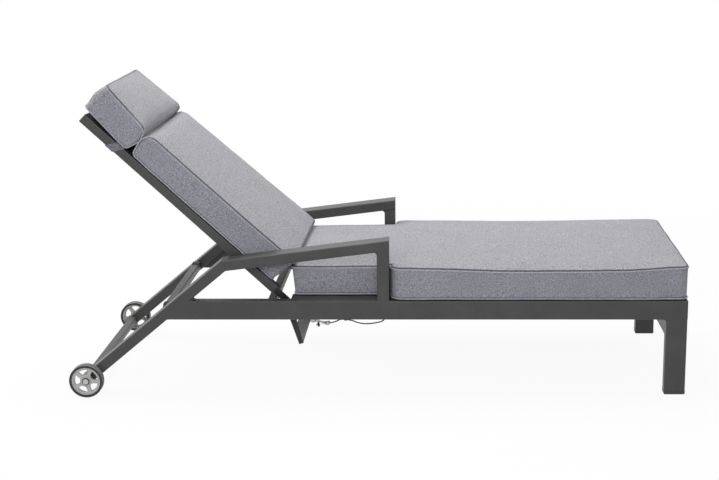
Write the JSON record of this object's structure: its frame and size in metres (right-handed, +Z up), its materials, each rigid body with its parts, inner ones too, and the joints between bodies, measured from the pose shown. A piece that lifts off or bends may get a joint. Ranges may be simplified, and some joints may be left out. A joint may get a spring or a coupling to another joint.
{
  "type": "sun lounger",
  "caption": "Garden lounger with a gas spring backrest, rear wheels, sloped arm side frames and grey box cushions with a head pillow.",
  "frame": {"origin": "on the floor under the middle of the lounger, with the backrest up", "axes": "+X toward the foot end, +Y toward the left side of whoever lies on it, +Z up"},
  "size_m": [1.866, 0.7446, 0.9423],
  "materials": {
    "frame_paint": "anthracite powder coat, fine satin texture",
    "black_steel": "black powder coat",
    "black_plastic": "matt black",
    "rubber_black": "matt black",
    "tyre_rubber": "dark grey soft tread",
    "rim_plastic": "light grey, lightly grained",
    "zinc_steel": "zinc plated",
    "chrome_rod": "polished",
    "cushion_fabric": "grey melange weave over foam",
    "strap_fabric": "woven elastic band"
  },
  "bodies": {
    "root": {"rail_left": "frame_paint", "rail_right": "frame_paint", "armrest_left": "frame_paint", "armrest_right": "frame_paint", "arm_post_left": "frame_paint", "arm_post_right": "frame_paint", "rear_leg_left": "frame_paint", "rear_leg_right": "frame_paint", "foot_leg_left": "frame_paint", "foot_leg_right": "frame_paint", "foot_cap_left": "black_plastic", "foot_cap_right": "black_plastic", "foot_cross_tube": "frame_paint", "wheel_cross_tube": "frame_paint", "rest_cross_tube": "frame_paint", "rest_buffers": "rubber_black", "pivot_cross_tube": "frame_paint", "pivot_brackets": "black_steel", "pivot_pins": "zinc_steel", "anchor_cross_tube": "frame_paint", "anchor_bracket": "black_steel", "anchor_pin": "zinc_steel", "rear_leg_plugs": "black_plastic", "seat_slats": "frame_paint", "seat_cushion": "cushion_fabric", "wheel_axle_left": "zinc_steel", "wheel_axle_right": "zinc_steel", "handle_bracket": "black_steel", "handle_pin": "zinc_steel", "release_cable_front": "rubber_black"},
    "backrest": {"back_tube_left": "frame_paint", "back_tube_right": "frame_paint", "back_top_tube": "frame_paint", "back_slats": "frame_paint", "crank_plate_left": "black_steel", "crank_plate_right": "black_steel", "crank_cross_plate": "frame_paint", "crank_clevis": "black_steel", "clevis_screws": "zinc_steel", "pivot_bushes": "black_plastic", "back_cushion": "cushion_fabric", "head_pillow": "cushion_fabric", "cushion_strap": "strap_fabric"},
    "gas_cylinder": {"gas_cylinder": "black_steel", "gas_guide": "black_plastic", "cable_band": "black_steel"},
    "gas_rod": {"gas_rod": "chrome_rod", "release_head": "zinc_steel", "trigger_pin": "zinc_steel", "cable_adjuster": "zinc_steel", "trigger_wire": "zinc_steel", "release_cable_rear": "rubber_black"},
    "release_trigger": {"release_trigger": "black_steel"},
    "release_handle": {"handle_lever": "black_steel", "handle_wire": "zinc_steel"},
    "wheel_left": {"wheel_rim_left": "rim_plastic", "wheel_tyre_left": "tyre_rubber"},
    "wheel_right": {"wheel_rim_right": "rim_plastic", "wheel_tyre_right": "tyre_rubber"}
  },
  "joints": [
    {"name": "backrest_recline", "type": "hinge", "parent": "root", "child": "backrest", "pos_m": [-0.288, 0, 0.27], "axis": [0, -1, 0], "range_deg": [0, 43.3]},
    {"name": "gas_cylinder_pivot", "type": "hinge", "parent": "root", "child": "gas_cylinder", "pos_m": [0.07, 0, 0.19], "axis": [0, 1, 0], "range_deg": [0, 16.9], "deforming": ["release_cable_front"]},
    {"name": "gas_rod_slide", "type": "slide", "parent": "gas_cylinder", "child": "gas_rod", "axis": [0.9885, 0, 0.1509], "range_m": [0, 0.0699], "deforming": ["release_cable_rear"]},
    {"name": "release_handle_lift", "type": "hinge", "parent": "root", "child": "release_handle", "pos_m": [0.006, -0.297, 0.267], "axis": [0, -1, 0], "range_deg": [0, 12], "stiffness_Nm_per_rad": 0.6, "springref_deg": -11.46},
    {"name": "release_trigger_pull", "type": "hinge", "parent": "gas_rod", "child": "release_trigger", "pos_m": [-0.20985, 0, 0.13847], "axis": [0, -1, 0], "range_deg": [0, 9]},
    {"name": "wheel_left_spin", "type": "hinge", "parent": "root", "child": "wheel_left", "pos_m": [-0.882, 0.355, 0.051], "axis": [0, 1, 0], "continuous": true},
    {"name": "wheel_right_spin", "type": "hinge", "parent": "root", "child": "wheel_right", "pos_m": [-0.882, -0.355, 0.051], "axis": [0, 1, 0], "continuous": true}
  ],
  "couplings": [
    {"joint": "gas_cylinder_pivot", "follows": "backrest_recline", "ratio": 0.38744},
    {"joint": "gas_rod_slide", "follows": "backrest_recline", "m_per_rad": 0.092293},
    {"joint": "release_trigger_pull", "follows": "release_handle_lift", "ratio": 0.75}
  ]
}
